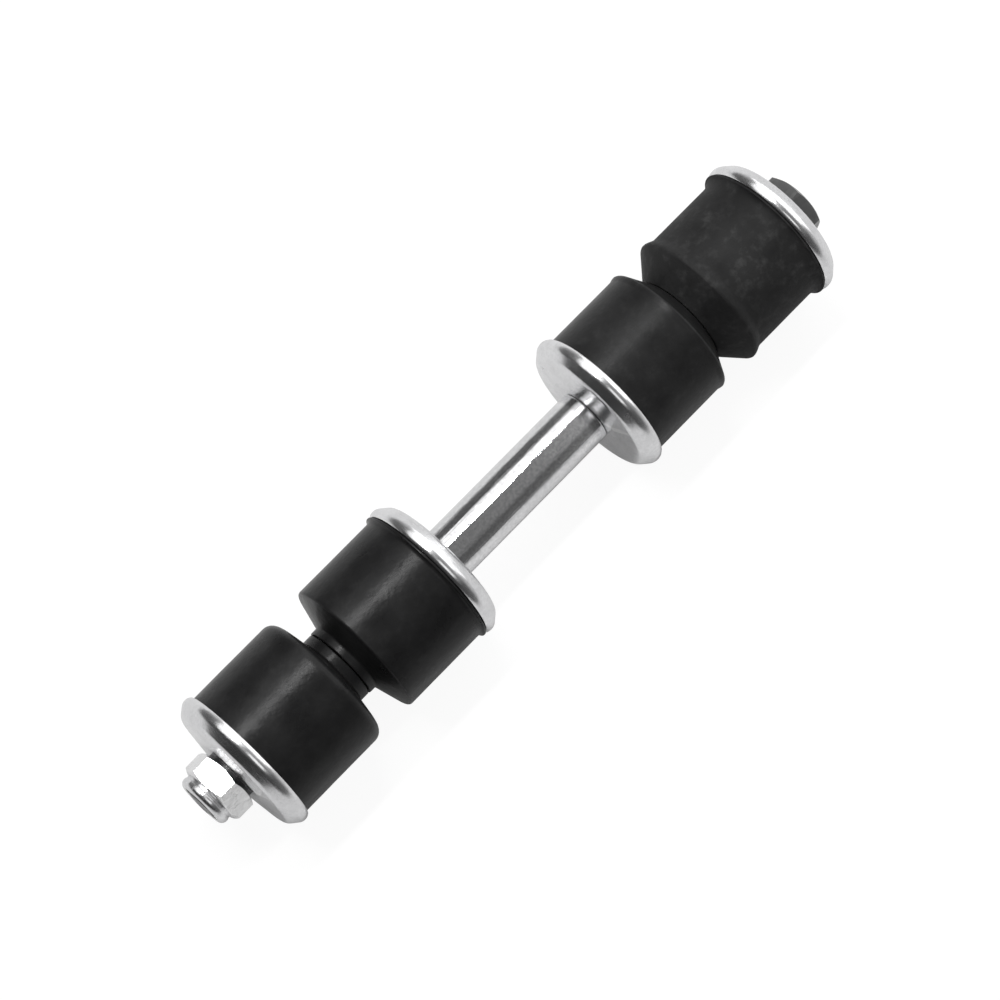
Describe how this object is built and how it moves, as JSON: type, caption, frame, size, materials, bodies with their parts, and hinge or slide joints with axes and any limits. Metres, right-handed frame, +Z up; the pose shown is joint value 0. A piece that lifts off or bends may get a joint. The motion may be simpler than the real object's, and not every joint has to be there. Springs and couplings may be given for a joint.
{
  "type": "stabilizer link",
  "caption": "Sway bar end link: a long bolt and lock nut clamp cupped washers and rubber bushings on either side of a spacer sleeve.",
  "frame": {"origin": "on the bolt's axis, midway between the bolt's tip and the top of its head", "axes": "+X along the bolt towards its head, +Z up, with the link lying on its washers"},
  "size_m": [0.1714, 0.033, 0.033],
  "materials": {
    "zinc": "bright zinc plate",
    "dark_steel": "dark zinc plate",
    "rubber": "moulded, matte",
    "nylon": "natural nylon"
  },
  "bodies": {
    "bolt": {"link_bolt": "dark_steel"},
    "head_end": {"head_washer": "zinc", "head_outer_bushing": "rubber"},
    "core": {"head_inner_washer": "zinc", "head_inner_bushing": "rubber", "nut_inner_washer": "zinc", "nut_inner_bushing": "rubber"},
    "sleeve": {"spacer_sleeve": "zinc"},
    "nut_end": {"nut_washer": "zinc", "nut_outer_bushing": "rubber"},
    "nut": {"lock_nut": "zinc", "locking_ring": "nylon"}
  },
  "joints": [
    {"name": "head_end_spin", "type": "hinge", "parent": "bolt", "child": "head_end", "pos_m": [0.0815, 0, 0], "axis": [1, 0, 0], "continuous": true},
    {"name": "core_travel", "type": "slide", "parent": "bolt", "child": "core", "axis": [1, 0, 0], "range_m": [0, 0.00375]},
    {"name": "sleeve_spin", "type": "hinge", "parent": "core", "child": "sleeve", "pos_m": [0, 0, 0], "axis": [1, 0, 0], "continuous": true},
    {"name": "nut_travel", "type": "slide", "parent": "bolt", "child": "nut_end", "axis": [1, 0, 0], "range_m": [0, 0.0075], "deforming": ["head_outer_bushing", "head_inner_bushing", "nut_inner_bushing", "nut_outer_bushing"]},
    {"name": "nut_spin", "type": "hinge", "parent": "nut_end", "child": "nut", "pos_m": [-0.0773, 0, 0], "axis": [1, 0, 0], "range_deg": [0, 2160]}
  ],
  "couplings": [
    {"joint": "nut_spin", "follows": "nut_travel", "rad_per_m": 5026.5},
    {"joint": "core_travel", "follows": "nut_travel", "ratio": 0.5}
  ]
}
